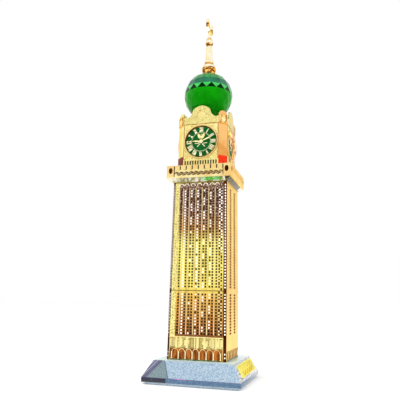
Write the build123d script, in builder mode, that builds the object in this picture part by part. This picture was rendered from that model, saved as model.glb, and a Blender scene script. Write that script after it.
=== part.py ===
"""Clock tower souvenir: a crystal and gilt tower on a bevelled crystal base.

Frame: millimetres, +Z up, origin at the centre of the underside, front of the tower towards -Y.
Each face is named by the side it looks towards; a face turned by t degrees about Z looks
along (sin t, -cos t), so 0 is the front and 90 is the right.
"""
from build123d import *
from math import atan, cos, degrees, hypot, radians, sin, sqrt
import os

os.makedirs("parts", exist_ok=True)

FACES = {"front": 0, "right": 90, "back": 180, "left": 270}
CORNERS = {"front_right": 0, "back_right": 90, "back_left": 180, "front_left": 270}

# ---- driving dimensions -------------------------------------------------------------------
base_width = 60.0
base_top_width = 49.2
pad_width = 57.0
pad_top = 1.0
band_top = 3.7
base_top = 13.3

plate_length = 43.0
plate_height = 7.6
plate_thickness = 0.4
plate_shift = 0.8

shaft_bottom_width = 37.5
shaft_top_width = 35.9
shaft_top = 124.3
shaft_chamfer = 1.6
panel_thickness = 0.8
podium_top = 27.0
divide_height = 54.7
storey_line = 94.0
bay_count = 5
bay_pitch = 4.45
bay_width = 2.9
end_bay_offset = 12.4
end_bay_width = 1.2
window_pitch = 1.8
window_height = 1.0
side_window_width = 4.2
side_window_spacing = 11.6

gallery_width = 43.0
soffit_top = 126.4
deck = 134.3
gallery_top = 134.8
fascia_thickness = 0.7

head_width = 33.6
head_chamfer = 4.8
screen_thickness = 0.9
head_top = 168.0
valley = 168.8
pediment_top = 177.2
cornice_height = 164.4
corner_top = 173.2
pedestal_top = 142.0
capital_bottom = 164.0
capital_top = 170.3

dial_height = 151.9
bezel_radius = 11.6
bezel_wall = 0.6
bezel_proud = 0.55
dial_thickness = 0.3
case_radius = 9.5
case_wall = 0.6
case_depth = 5.6
lens_rise = 2.85
lens_wall = 0.6
movement_size = 12.0
movement_depth = 4.4
cell_radius = 3.4
cell_height = 1.7
tube_radius = 0.75
arbor_radius = 0.37
running_gap = 0.05
hand_thickness = 0.15
hour_hand_length = 6.3
minute_hand_length = 9.0
hour_hand_angle = 275.0
minute_hand_angle = 67.0

ball_radius = 17.1
ball_height = 190.6
ball_flat_top = 206.6
ball_flat_bottom = 174.5
facets_round = 14
spigot_radius = 2.0
spigot_length = 4.0

rod_radius = 0.9
rod_sink = 4.5
knob_top = 215.6
collar_top = 218.9
stem_top = 230.4
bead_top = 235.2
cone_top = 238.9
crescent_bottom = 238.4
crescent_radius = 6.1
crescent_centre = 245.2
crescent_tip_half = 4.05
crescent_inner_radius = 4.9
crescent_thickness = 2.0

# ---- worked out from them -------------------------------------------------------------------
shaft_height = shaft_top - base_top
half_bottom = shaft_bottom_width / 2
half_top = shaft_top_width / 2
lean = degrees(atan((half_bottom - half_top) / shaft_height))
slope_height = hypot(shaft_height, half_bottom - half_top) - 0.02
head_half = head_width / 2
face_half = head_half - head_chamfer
block_half = head_half - screen_thickness
chamfer_width = head_chamfer * sqrt(2)
corner_offset = (2 * head_half - head_chamfer) / sqrt(2)
case_back = block_half - case_depth
STOREYS = ((podium_top, divide_height - 0.6), (divide_height + 0.6, storey_line), (storey_line + 1.2, 118.0))
WINDOW_ZONES = ((podium_top + 1, divide_height - 1.5), (divide_height + 1.5, 122.0))


def face_plane(turn, out, height, lean_back=0.0):
    """A plane on the face turned by `turn`: x to the right seen from outside, y up, z outwards."""
    t = radians(turn)
    b = radians(lean_back)
    outwards = (sin(t) * cos(b), -cos(t) * cos(b), sin(b))
    return Plane(origin=(out * sin(t), -out * cos(t), height), x_dir=(cos(t), sin(t), 0), z_dir=outwards)


def save(name, part):
    part.label = name
    export_step(part, f"parts/{name}.step")


def finish(builder, name):
    save(name, builder.part)


# ---- base -------------------------------------------------------------------------------------
with BuildPart() as base_pad:
    with BuildSketch(Plane.XY):
        RectangleRounded(pad_width, pad_width, 2.0)
    extrude(amount=pad_top)
finish(base_pad, "base_pad")

with BuildPart() as base_block:
    with BuildSketch(Plane.XY.offset(pad_top)):
        Rectangle(base_width, base_width)
    extrude(amount=band_top - pad_top)
    with BuildSketch(Plane.XY.offset(band_top)):
        Rectangle(base_width, base_width)
    with BuildSketch(Plane.XY.offset(base_top)):
        Rectangle(base_top_width, base_top_width)
    loft()
finish(base_block, "base_block")

bevel_run = (base_width - base_top_width) / 2
bevel_rise = base_top - band_top
bevel_centre = ((base_width - bevel_run) / 2, plate_shift, (band_top + base_top) / 2)
with BuildPart() as ornament_plate:
    with BuildSketch(Plane(origin=bevel_centre, x_dir=(0, 1, 0), z_dir=(bevel_rise, 0, bevel_run))) as plate_face:
        RectangleRounded(plate_length, plate_height, 0.5)
    extrude(amount=plate_thickness)
    with BuildSketch(plate_face.workplanes[0].offset(plate_thickness)):
        Rectangle(plate_length - 2, plate_height - 2)
        Rectangle(plate_length - 2.6, plate_height - 2.6, mode=Mode.SUBTRACT)
    extrude(amount=-0.15, mode=Mode.SUBTRACT)
finish(ornament_plate, "ornament_plate")

# ---- shaft: crystal core, four gilt panels and four corner strips ------------------------------
inner_corner = shaft_chamfer - panel_thickness
with BuildPart() as shaft_core:
    for height, half in ((base_top, half_bottom), (shaft_top, half_top)):
        with BuildSketch(Plane.XY.offset(height)) as core_section:
            Rectangle(2 * (half - panel_thickness), 2 * (half - panel_thickness))
            chamfer(core_section.vertices(), inner_corner)
    loft()
finish(shaft_core, "shaft_core")


def window_bays():
    """Tall recessed bays in three storeys between the pilasters."""
    for low, high in STOREYS:
        with Locations((0, (low + high) / 2 - base_top)):
            with GridLocations(bay_pitch, 1, bay_count, 1):
                Rectangle(bay_width, high - low)
            with GridLocations(2 * end_bay_offset, 1, 2, 1):
                Rectangle(end_bay_width, high - low)


def window_columns():
    """Two columns of small windows, for the plain side panels."""
    for low, high in WINDOW_ZONES:
        rows = int((high - low) / window_pitch)
        with Locations((0, (low + high) / 2 - base_top)):
            with GridLocations(side_window_spacing, window_pitch, 2, rows):
                Rectangle(side_window_width, window_height)


def arcade():
    """The row of small round-headed arches at the foot of a panel."""
    with Locations((0, 3.6)):
        with GridLocations(4.2, 1, 7, 1):
            SlotOverall(5.4, 1.8, rotation=90)


for side, turn in FACES.items():
    with BuildPart() as shaft_panel:
        with BuildSketch(face_plane(turn, half_bottom - panel_thickness, base_top, lean)):
            with BuildLine():
                Polyline(
                    (-half_bottom + shaft_chamfer, 0),
                    (half_bottom - shaft_chamfer, 0),
                    (half_top - shaft_chamfer, slope_height),
                    (-half_top + shaft_chamfer, slope_height),
                    close=True,
                )
            make_face()
        extrude(amount=panel_thickness)
        with BuildSketch(face_plane(turn, half_bottom, base_top, lean)):
            if side in ("front", "back"):
                window_bays()
            else:
                window_columns()
            arcade()
        extrude(amount=-panel_thickness / 2, mode=Mode.SUBTRACT)
    finish(shaft_panel, f"shaft_panel_{side}")

for side, turn in CORNERS.items():
    with BuildPart() as corner_strip:
        for height, half in ((base_top, half_bottom), (shaft_top, half_top)):
            with BuildSketch(Plane.XY.offset(height).rotated((0, 0, turn))):
                with BuildLine():
                    Polyline(
                        (half - shaft_chamfer, -half),
                        (half, -half + shaft_chamfer),
                        (half - panel_thickness, -half + shaft_chamfer),
                        (half - shaft_chamfer, -half + panel_thickness),
                        close=True,
                    )
                make_face()
        loft()
        strip_out = (half_bottom + half_top - shaft_chamfer) / sqrt(2)
        with BuildSketch(face_plane(turn + 45, strip_out + 1.0, 0)):
            for low, high in WINDOW_ZONES:
                with Locations((0, (low + high) / 2)):
                    with GridLocations(1, window_pitch, 1, int((high - low) / window_pitch)):
                        SlotOverall(1.3, 0.85, rotation=90)
        extrude(amount=-4.0, mode=Mode.SUBTRACT)
    finish(corner_strip, f"corner_strip_{side}")

# ---- gallery: crystal slab with a bevelled underside, and four gilt fascias --------------------
slab_width = gallery_width - 2 * fascia_thickness
with BuildPart() as gallery_slab:
    for height, width in ((shaft_top, shaft_top_width), (soffit_top, slab_width)):
        with BuildSketch(Plane.XY.offset(height)):
            Rectangle(width, width)
    loft()
    with BuildSketch(Plane.XY.offset(soffit_top)):
        Rectangle(slab_width, slab_width)
    extrude(amount=deck - soffit_top)
finish(gallery_slab, "gallery_slab")

end_block = 5.2
for side, turn in FACES.items():
    outer = gallery_width / 2
    inner = slab_width / 2
    with BuildPart() as gallery_fascia:
        with BuildSketch(Plane.XY.offset(soffit_top).rotated((0, 0, turn))):
            with BuildLine():
                Polyline((-outer, -outer), (outer, -outer), (inner, -inner), (-inner, -inner), close=True)
            make_face()
        extrude(amount=gallery_top - soffit_top)
        with BuildSketch(face_plane(turn, outer, 0)):
            with Locations((0, 131.8)):
                with GridLocations(gallery_width - end_block - 0.4, 1, 2, 1):
                    Ellipse(0.9, 1.7)
            with Locations((0, 130.8)):
                with GridLocations(gallery_width - 2 * end_block, 1, 2, 1):
                    Rectangle(0.4, 6.4)
        extrude(amount=-fascia_thickness / 2, mode=Mode.SUBTRACT)
    finish(gallery_fascia, f"gallery_fascia_{side}")

# ---- clock head: crystal block, four pierced face screens, four corner pilasters ---------------
bore_radius = case_radius + running_gap
with BuildPart() as head_block:
    with BuildSketch(Plane.XY.offset(deck)) as head_section:
        Rectangle(2 * block_half, 2 * block_half)
        chamfer(head_section.vertices(), head_chamfer - screen_thickness)
    extrude(amount=head_top - deck)
    for turn in FACES.values():
        with BuildSketch(face_plane(turn, block_half, dial_height)):
            Circle(bore_radius)
        extrude(amount=-(case_depth + 0.1), mode=Mode.SUBTRACT)
finish(head_block, "head_block")


shoulder = 173.3
valley_half = 10.0
for side, turn in FACES.items():
    with BuildPart() as face_screen:
        with BuildSketch(face_plane(turn, block_half, 0)):
            with BuildLine():
                Line((-face_half, deck), (face_half, deck))
                Line((face_half, deck), (face_half, valley + 0.6))
                Line((face_half, valley + 0.6), (valley_half, valley))
                ThreePointArc((valley_half, valley), (7.6, 170.4), (6.2, shoulder))
                ThreePointArc((6.2, shoulder), (5.4, 175.0), (4.0, 175.9))
                ThreePointArc((4.0, 175.9), (0, pediment_top), (-4.0, 175.9))
                ThreePointArc((-4.0, 175.9), (-5.4, 175.0), (-6.2, shoulder))
                ThreePointArc((-6.2, shoulder), (-7.6, 170.4), (-valley_half, valley))
                Line((-valley_half, valley), (-face_half, valley + 0.6))
                Line((-face_half, valley + 0.6), (-face_half, deck))
            make_face()
            with Locations((0, dial_height)):
                Circle(bezel_radius + 0.12, mode=Mode.SUBTRACT)
            with Locations((0, 137.2)):
                with GridLocations(1.75, 1, 13, 1):
                    SlotOverall(3.6, 0.9, rotation=90, mode=Mode.SUBTRACT)
        extrude(amount=screen_thickness)
        with BuildSketch(face_plane(turn, head_half, 0)):
            with Locations((0, cornice_height + 0.35)):
                Rectangle(2 * face_half, 0.7)
        extrude(amount=0.35)
    finish(face_screen, f"face_screen_{side}")

for side, turn in CORNERS.items():
    with BuildPart() as corner_pilaster:
        with BuildSketch(Plane.XY.offset(deck).rotated((0, 0, turn))):
            with BuildLine():
                Polyline(
                    (face_half, -head_half),
                    (head_half, -face_half),
                    (block_half, -face_half),
                    (face_half, -block_half),
                    close=True,
                )
            make_face()
        extrude(amount=corner_top - deck)
        spring = corner_top - 2.4
        with BuildSketch(face_plane(turn + 45, corner_offset + 1, 0)):
            with BuildLine():
                ThreePointArc((-chamfer_width / 2, spring), (0, corner_top), (chamfer_width / 2, spring))
                Polyline(
                    (chamfer_width / 2, spring),
                    (chamfer_width / 2 + 1, spring),
                    (chamfer_width / 2 + 1, corner_top + 1),
                    (-chamfer_width / 2 - 1, corner_top + 1),
                    (-chamfer_width / 2 - 1, spring),
                    (-chamfer_width / 2, spring),
                )
            make_face()
        extrude(amount=-3.0, mode=Mode.SUBTRACT)
    finish(corner_pilaster, f"corner_pilaster_{side}")


corner_blocks = (("corner_pedestals", deck, pedestal_top), ("corner_capitals", capital_bottom, capital_top))
for name, low, high in corner_blocks:
    with BuildPart() as blocks:
        for turn in CORNERS.values():
            with BuildSketch(face_plane(turn + 45, corner_offset, (low + high) / 2)):
                Rectangle(chamfer_width - 0.3, high - low)
            extrude(amount=0.5)
    finish(blocks, name)


# ---- clock inserts ----------------------------------------------------------------------------
dial_front = block_half + 0.3 + dial_thickness
bezel_front = head_half + bezel_proud
hour_level = dial_front + 0.3
minute_level = hour_level + hand_thickness + 0.2
movement_back = case_back + case_wall + 0.1
movement_front = movement_back + movement_depth
bore_end = movement_back + 2.2


def insert_plane(turn, out, clock_angle=0.0):
    """A plane square to a clock insert's axis, `out` from the tower's axis, y towards clock_angle."""
    t = radians(turn)
    c = radians(clock_angle)
    across = (cos(t) * cos(c), sin(t) * cos(c), -sin(c))
    return Plane(origin=face_plane(turn, out, dial_height).origin, x_dir=across, z_dir=(sin(t), -cos(t), 0))


def profile_plane(turn):
    """A plane through a clock insert's axis: x is the radius and y the distance from the tower's axis."""
    t = radians(turn)
    return Plane(origin=(0, 0, dial_height), x_dir=(cos(t), sin(t), 0), z_dir=(0, 0, -1))


def insert_axis(turn):
    return Axis((0, 0, dial_height), (sin(radians(turn)), -cos(radians(turn)), 0))


def hand_outline(plane, length, tail, width):
    """A hand pointing up the plane's y: a tapered blade with a short tail and a round boss."""
    with BuildSketch(plane) as outline:
        with BuildLine():
            Polyline(
                (-width * 0.35, -tail),
                (width * 0.35, -tail),
                (width * 0.5, length * 0.62),
                (0, length),
                (-width * 0.5, length * 0.62),
                close=True,
            )
        make_face()
        Circle(1.15)
    return outline.sketch


for side, turn in FACES.items():
    with BuildPart() as clock_case:
        with BuildSketch(profile_plane(turn)):
            with BuildLine():
                Polyline(
                    (0, case_back),
                    (case_radius, case_back),
                    (case_radius, block_half),
                    (bezel_radius, block_half),
                    (bezel_radius, bezel_front),
                    (bezel_radius - bezel_wall, bezel_front),
                    (bezel_radius - bezel_wall, block_half + 0.3),
                    (case_radius - case_wall, block_half + 0.3),
                    (case_radius - case_wall, case_back + case_wall),
                    (0, case_back + case_wall),
                    close=True,
                )
            make_face()
        revolve(axis=insert_axis(turn))
    finish(clock_case, f"clock_case_{side}")

    with BuildPart() as clock_dial:
        with BuildSketch(insert_plane(turn, block_half + 0.3)):
            Circle(bezel_radius - bezel_wall - running_gap)
            Circle(tube_radius + 0.15, mode=Mode.SUBTRACT)
        extrude(amount=dial_thickness)
    finish(clock_dial, f"clock_dial_{side}")

    lens_radius = bezel_radius - bezel_wall - running_gap
    lens_foot = dial_front + 0.02
    with BuildPart() as clock_lens:
        with BuildSketch(profile_plane(turn)):
            with BuildLine():
                rim_in = lens_radius - lens_wall
                bow_out = Spline(
                    (lens_radius, bezel_front),
                    (0, bezel_front + lens_rise),
                    tangents=((-0.85, 0.5), (-1, 0)),
                )
                Line(bow_out @ 1, (0, bezel_front + lens_rise - lens_wall))
                Spline(
                    (0, bezel_front + lens_rise - lens_wall),
                    (rim_in, bezel_front),
                    tangents=((1, 0), (0.85, -0.5)),
                )
                Polyline(
                    (rim_in, bezel_front),
                    (rim_in, lens_foot),
                    (lens_radius, lens_foot),
                    (lens_radius, bezel_front),
                )
            make_face()
        revolve(axis=insert_axis(turn))
    finish(clock_lens, f"clock_lens_{side}")

    with BuildPart() as clock_movement:
        with BuildSketch(insert_plane(turn, movement_back)):
            RectangleRounded(movement_size, movement_size, 1.0)
        extrude(amount=movement_depth)
        with BuildSketch(insert_plane(turn, movement_front)):
            Circle(2.6)
        extrude(amount=block_half + 0.3 - movement_front)
        with BuildSketch(insert_plane(turn, bore_end)):
            Circle(tube_radius + running_gap)
        extrude(amount=block_half + 0.3 - bore_end, mode=Mode.SUBTRACT)
        with BuildSketch(insert_plane(turn, movement_back)):
            with Locations((0, -1.8)):
                Circle(cell_radius + running_gap)
        extrude(amount=cell_height + 0.1, mode=Mode.SUBTRACT)
    finish(clock_movement, f"clock_movement_{side}")

    with BuildPart() as hour_hand:
        hour_plane = insert_plane(turn, hour_level, hour_hand_angle)
        extrude(hand_outline(hour_plane, hour_hand_length, 1.4, 1.0), amount=hand_thickness)
        with BuildSketch(insert_plane(turn, bore_end + 0.4)):
            Circle(tube_radius)
        extrude(amount=hour_level - bore_end - 0.4)
        with BuildSketch(insert_plane(turn, bore_end + 0.4)):
            Circle(arbor_radius + running_gap)
        extrude(amount=hour_level + hand_thickness - bore_end - 0.4, mode=Mode.SUBTRACT)
    finish(hour_hand, f"hour_hand_{side}")

    with BuildPart() as minute_hand:
        minute_plane = insert_plane(turn, minute_level, minute_hand_angle)
        extrude(hand_outline(minute_plane, minute_hand_length, 1.8, 0.8), amount=hand_thickness)
        with BuildSketch(insert_plane(turn, bore_end + 0.2)):
            Circle(arbor_radius)
        extrude(amount=minute_level - bore_end - 0.2)
        with BuildSketch(insert_plane(turn, minute_level + hand_thickness)):
            Circle(0.6)
        extrude(amount=0.3)
    finish(minute_hand, f"minute_hand_{side}")

with BuildPart() as button_cells:
    for turn in FACES.values():
        with BuildSketch(insert_plane(turn, movement_back + 0.05)):
            with Locations((0, -1.8)):
                Circle(cell_radius)
        extrude(amount=cell_height)
finish(button_cells, "button_cells")

# ---- faceted crystal ball on its turned seat --------------------------------------------------
facet_rings = ((0.0, 0.0), (25.0, 0.5), (-25.0, 0.5), (48.0, 0.0), (-48.0, 0.0))
with BuildPart() as crystal_ball:
    with Locations((0, 0, ball_height)):
        Sphere(ball_radius)
    for flat, upwards in ((ball_flat_top, 1), (ball_flat_bottom, -1)):
        split(bisect_by=Plane(origin=(0, 0, flat), z_dir=(0, 0, upwards)), keep=Keep.BOTTOM)
    for latitude, phase in facet_rings:
        for index in range(facets_round):
            a = radians((index + phase) * 360 / facets_round)
            b = radians(latitude)
            out = Vector(sin(a) * cos(b), -cos(a) * cos(b), sin(b))
            cut = Vector(0, 0, ball_height) + out * (ball_radius * 0.968)
            split(bisect_by=Plane(origin=cut, z_dir=out), keep=Keep.BOTTOM)
    with BuildSketch(Plane.XY.offset(ball_flat_top)):
        Circle(rod_radius + running_gap)
    extrude(amount=-rod_sink - 0.2, mode=Mode.SUBTRACT)
    with BuildSketch(Plane.XY.offset(ball_flat_bottom)):
        Circle(spigot_radius + running_gap)
    extrude(amount=spigot_length + 0.2, mode=Mode.SUBTRACT)
finish(crystal_ball, "crystal_ball")

with BuildPart() as ball_seat:
    with BuildSketch(Plane.XZ):
        with BuildLine():
            Polyline((0, head_top), (8.5, head_top), (8.5, head_top + 1.2), (7.6, head_top + 2.0))
            ThreePointArc((7.6, head_top + 2.0), (4.9, head_top + 3.6), (5.6, ball_flat_bottom))
            Polyline(
                (5.6, ball_flat_bottom),
                (spigot_radius, ball_flat_bottom),
                (spigot_radius, ball_flat_bottom + spigot_length),
                (0, ball_flat_bottom + spigot_length),
                (0, head_top),
            )
        make_face()
    revolve(axis=Axis.Z)
finish(ball_seat, "ball_seat")

# ---- finial: turned pieces strung on a threaded rod, with a crescent on top --------------------
rod_hole = rod_radius + running_gap
rod_top = bead_top - 1.2
with BuildPart() as finial_rod:
    with BuildSketch(Plane.XY.offset(ball_flat_top - rod_sink)):
        Circle(rod_radius)
    extrude(amount=rod_top - ball_flat_top + rod_sink)
finish(finial_rod, "finial_rod")

with BuildPart() as finial_knob:
    with BuildSketch(Plane.XZ):
        with BuildLine():
            Polyline((rod_hole, ball_flat_top), (3.6, ball_flat_top), (3.6, ball_flat_top + 0.9))
            Spline((3.6, ball_flat_top + 0.9), (4.9, 211.2), (3.1, knob_top))
            Polyline((3.1, knob_top), (rod_hole, knob_top), (rod_hole, ball_flat_top))
        make_face()
    revolve(axis=Axis.Z)
finish(finial_knob, "finial_knob")

with BuildPart() as finial_stem:
    with BuildSketch(Plane.XZ):
        with BuildLine():
            Line((rod_hole, knob_top), (2.6, knob_top))
            ThreePointArc((2.6, knob_top), (3.25, (knob_top + collar_top) / 2), (2.5, collar_top))
            Polyline((2.5, collar_top), (2.0, stem_top), (rod_hole, stem_top), (rod_hole, knob_top))
        make_face()
    revolve(axis=Axis.Z)
finish(finial_stem, "finial_stem")

with BuildPart() as finial_bead:
    with BuildSketch(Plane.XZ):
        with BuildLine():
            Line((0, rod_top), (rod_hole, rod_top))
            Polyline((rod_hole, rod_top), (rod_hole, stem_top), (1.8, stem_top))
            ThreePointArc((1.8, stem_top), (2.8, 232.6), (1.5, bead_top - 0.5))
            Polyline(
                (1.5, bead_top - 0.5),
                (2.25, bead_top - 0.5),
                (2.25, bead_top),
                (1.75, bead_top + 0.4),
                (0.8, cone_top - 0.4),
                (0, cone_top - 0.4),
                (0, rod_top),
            )
        make_face()
    revolve(axis=Axis.Z)
finish(finial_bead, "finial_bead")

tip_height = crescent_centre + sqrt(crescent_radius**2 - crescent_tip_half**2)
inner_centre = tip_height - sqrt(crescent_inner_radius**2 - crescent_tip_half**2)
with BuildPart() as crescent:
    with BuildSketch(Plane.YZ.offset(-crescent_thickness / 2)):
        with BuildLine():
            ThreePointArc(
                (-crescent_tip_half, tip_height),
                (0, crescent_centre - crescent_radius),
                (crescent_tip_half, tip_height),
            )
            ThreePointArc(
                (crescent_tip_half, tip_height),
                (0, inner_centre - crescent_inner_radius),
                (-crescent_tip_half, tip_height),
            )
        make_face()
    extrude(amount=crescent_thickness)
    with BuildSketch(Plane.XY.offset(cone_top - 0.4)):
        Circle(0.8)
    extrude(amount=1.4)
finish(crescent, "crescent")
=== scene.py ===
from math import atan2, cos, pi, radians, sin, sqrt

import bmesh
import bpy
from mathutils import Matrix, Vector


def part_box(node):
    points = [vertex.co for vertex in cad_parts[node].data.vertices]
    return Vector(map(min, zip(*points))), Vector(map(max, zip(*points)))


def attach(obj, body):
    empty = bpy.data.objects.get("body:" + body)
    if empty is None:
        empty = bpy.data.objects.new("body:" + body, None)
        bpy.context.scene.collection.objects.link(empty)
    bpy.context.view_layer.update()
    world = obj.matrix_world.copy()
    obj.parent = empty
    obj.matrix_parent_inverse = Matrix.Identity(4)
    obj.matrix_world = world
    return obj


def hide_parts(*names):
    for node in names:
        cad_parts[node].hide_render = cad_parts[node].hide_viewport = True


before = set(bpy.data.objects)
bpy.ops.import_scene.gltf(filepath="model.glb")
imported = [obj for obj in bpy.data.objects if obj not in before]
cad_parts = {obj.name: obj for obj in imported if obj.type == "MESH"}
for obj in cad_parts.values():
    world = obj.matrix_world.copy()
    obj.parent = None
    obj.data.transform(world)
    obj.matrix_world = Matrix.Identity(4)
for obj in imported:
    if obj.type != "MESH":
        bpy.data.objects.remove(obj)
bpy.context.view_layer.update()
mm = 0.001
faceTurns = {"front": 0, "right": 90, "back": 180, "left": 270}
frontAndBack = {"front": 0, "back": 180}
rightAndLeft = {"right": 90, "left": 270}
cornerTurns = {"front_right": 0, "back_right": 90, "back_left": 180, "front_left": 270}
print("frame loaded:", len(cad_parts), "nodes")


def letGo():
    if bpy.context.object and bpy.context.object.mode != "OBJECT":
        bpy.ops.object.mode_set(mode="OBJECT")
    bpy.ops.object.select_all(action="DESELECT")


def focus(piece):
    letGo()
    piece.select_set(True)
    bpy.context.view_layer.objects.active = piece


def settle(piece, name=None):
    # the place goes into the mesh, so the object sits at the origin
    focus(piece)
    bpy.ops.object.transform_apply(location=True, rotation=True, scale=True)
    if name:
        piece.name = name
    return piece


def added(name, scale=(1, 1, 1)):
    piece = bpy.context.object
    piece.scale = scale
    return settle(piece, name)


def openEdit(piece):
    focus(piece)
    bpy.ops.object.mode_set(mode="EDIT")
    bpy.ops.mesh.select_mode(type="FACE")
    bpy.ops.mesh.select_all(action="DESELECT")


def closeEdit():
    bpy.ops.object.mode_set(mode="OBJECT")


def pick(test):
    # selects the faces whose centre and normal pass the test
    mesh = bpy.context.object.data
    shape = bmesh.from_edit_mesh(mesh)
    for face in shape.faces:
        face.select_set(bool(test(face.calc_center_median(), face.normal)))
    bmesh.update_edit_mesh(mesh)


def facesFront(normal):
    return normal.y < -0.9


def cut(axis, places):
    normal = Vector((0, 0, 0))
    normal[axis] = 1
    for level in places:
        bpy.ops.mesh.select_all(action="SELECT")
        bpy.ops.mesh.bisect(plane_co=normal * level, plane_no=normal)


def paint(finish):
    piece = bpy.context.object
    piece.active_material_index = piece.data.materials.find(finish.name)
    bpy.ops.object.material_slot_assign()


def sink(test, rim, depth, finish):
    # each picked face gets a rim and drops inwards, like a struck window
    pick(test)
    bpy.ops.mesh.inset(thickness=rim, depth=-depth, use_individual=True)
    paint(finish)


def lift(test, height, finish=None):
    # a negative height sets the picked faces back
    pick(test)
    bpy.ops.mesh.extrude_region_move(TRANSFORM_OT_translate={"value": (0, -height, 0)})
    if finish:
        paint(finish)


def closeBack(thickness):
    bpy.ops.mesh.select_mode(type="EDGE")
    bpy.ops.mesh.select_all(action="DESELECT")
    bpy.ops.mesh.select_non_manifold(
        extend=False, use_wire=False, use_boundary=True,
        use_multi_face=False, use_non_contiguous=False, use_verts=False)
    bpy.ops.mesh.extrude_region_move(TRANSFORM_OT_translate={"value": (0, thickness, 0)})
    bpy.ops.mesh.edge_face_add()
    bpy.ops.mesh.select_mode(type="FACE")
    bpy.ops.mesh.select_all(action="SELECT")
    bpy.ops.mesh.normals_make_consistent(inside=False)


def useFinishes(piece, *finishes):
    piece.data.materials.clear()
    for finish in finishes:
        piece.data.materials.append(finish)
    return piece


def dress(finish, *nodes):
    for node in nodes:
        useFinishes(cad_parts[node], finish)


def modify(piece, kind, **values):
    focus(piece)
    modifier = piece.modifiers.new(kind.title(), kind)
    for key, value in values.items():
        setattr(modifier, key, value)
    bpy.ops.object.modifier_apply(modifier=modifier.name)
    return piece


def softEdges(piece, width, segments=2, angle=35):
    return modify(piece, "BEVEL", width=width, segments=segments, limit_method="ANGLE",
                  angle_limit=radians(angle), harden_normals=False)


def smooth(piece, angle=35):
    focus(piece)
    bpy.ops.object.shade_smooth_by_angle(angle=radians(angle))
    return piece


def frontSheet(name, width, bottom, top, out):
    letGo()
    bpy.ops.mesh.primitive_plane_add(
        size=1, location=(0, -out, (bottom + top) / 2), rotation=(pi / 2, 0, 0))
    return added(name, (width, top - bottom, 1))


def flatBar(name, across, width, bottom, top, out, finish):
    # a thin upright bar on the front face
    bar = frontSheet(name, width, bottom, top, out)
    openEdit(bar)
    closeBack(0.15 * mm)
    closeEdit()
    softEdges(bar, 0.03 * mm, 1)
    return useFinishes(moved(bar, shift(across, 0, 0)), finish)


def shift(across, back, up):
    return Matrix.Translation((across, back, up))


def swing(angle, axis):
    return Matrix.Rotation(angle, 4, axis)


def moved(piece, *steps):
    for step in steps:
        piece.data.transform(step)
    return piece


def ringAt(name, spot, radius, wire, segments, scale=(1, 1, 1)):
    # a wire ring that stands upright and faces the front
    letGo()
    bpy.ops.mesh.primitive_torus_add(
        major_radius=radius, minor_radius=wire, major_segments=segments, minor_segments=6,
        location=spot, rotation=(pi / 2, 0, 0))
    return added(name, scale)


def halved(ring, height, upper=True):
    openEdit(ring)
    bpy.ops.mesh.select_all(action="SELECT")
    bpy.ops.mesh.bisect(plane_co=(0, 0, height), plane_no=(0, 0, 1),
                        clear_inner=upper, clear_outer=not upper, use_fill=True)
    closeEdit()
    return ring


def pebble(name, subdivisions, radius, scale):
    letGo()
    bpy.ops.mesh.primitive_ico_sphere_add(subdivisions=subdivisions, radius=radius, location=(0, 0, 0))
    return added(name, scale)


def evenly(count, pitch):
    return [(index - (count - 1) / 2) * pitch for index in range(count)]


def bothEdges(places, width):
    return [middle + side * width / 2 for middle in places for side in (-1, 1)]


def near(value, places, reach):
    return any(abs(value - other) < reach for other in places)


def copyOf(piece, name, *steps):
    twin = piece.copy()
    twin.data = piece.data.copy()
    twin.name = name
    bpy.context.scene.collection.objects.link(twin)
    return moved(twin, *steps)


def weld(pieces, name):
    letGo()
    for piece in pieces:
        piece.select_set(True)
    bpy.context.view_layer.objects.active = pieces[0]
    bpy.ops.object.join()
    pieces[0].name = name
    return pieces[0]


def drop(piece):
    bpy.data.objects.remove(piece)


def refined(node, name, width, segments=2, angle=30):
    # a copy of the CAD node, merged into clean faces, with its edges eased
    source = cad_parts[node]
    piece = bpy.data.objects.new(name, source.data.copy())
    bpy.context.scene.collection.objects.link(piece)
    openEdit(piece)
    bpy.ops.mesh.select_all(action="SELECT")
    bpy.ops.mesh.remove_doubles(threshold=0.004 * mm)
    bpy.ops.mesh.select_all(action="SELECT")
    bpy.ops.mesh.dissolve_limited(angle_limit=radians(1.0))
    closeEdit()
    if width:
        softEdges(piece, width, segments, angle)
    return smooth(piece)


def place(piece, body, slotName, *nodes):
    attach(piece, body)
    if nodes:
        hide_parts(*nodes)
    return piece


def setAround(master, stem, turns, slotName):
    for side, turn in turns.items():
        twin = copyOf(master, f"{stem}_detail_{side}", swing(radians(turn), "Z"))
        place(twin, "tower", slotName, f"{stem}_{side}")
    drop(master)


def tone(hexCode):
    channels = [int(hexCode[i:i + 2], 16) / 255 for i in (0, 2, 4)]
    return tuple(c / 12.92 if c <= 0.04045 else ((c + 0.055) / 1.055) ** 2.4 for c in channels) + (1,)


class Wire:
    # a node's output socket that takes part in plain arithmetic
    def __init__(self, finish, socket):
        self.finish = finish
        self.socket = socket

    def maths(self, operation, first, second=None):
        values = {0: first} if second is None else {0: first, 1: second}
        return self.finish.node("ShaderNodeMath", {"operation": operation}, values)

    def __add__(self, other):
        return self.maths("ADD", self, other)

    __radd__ = __add__

    def __sub__(self, other):
        return self.maths("SUBTRACT", self, other)

    def __rsub__(self, other):
        return self.maths("SUBTRACT", other, self)

    def __mul__(self, other):
        return self.maths("MULTIPLY", self, other)

    __rmul__ = __mul__


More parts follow.
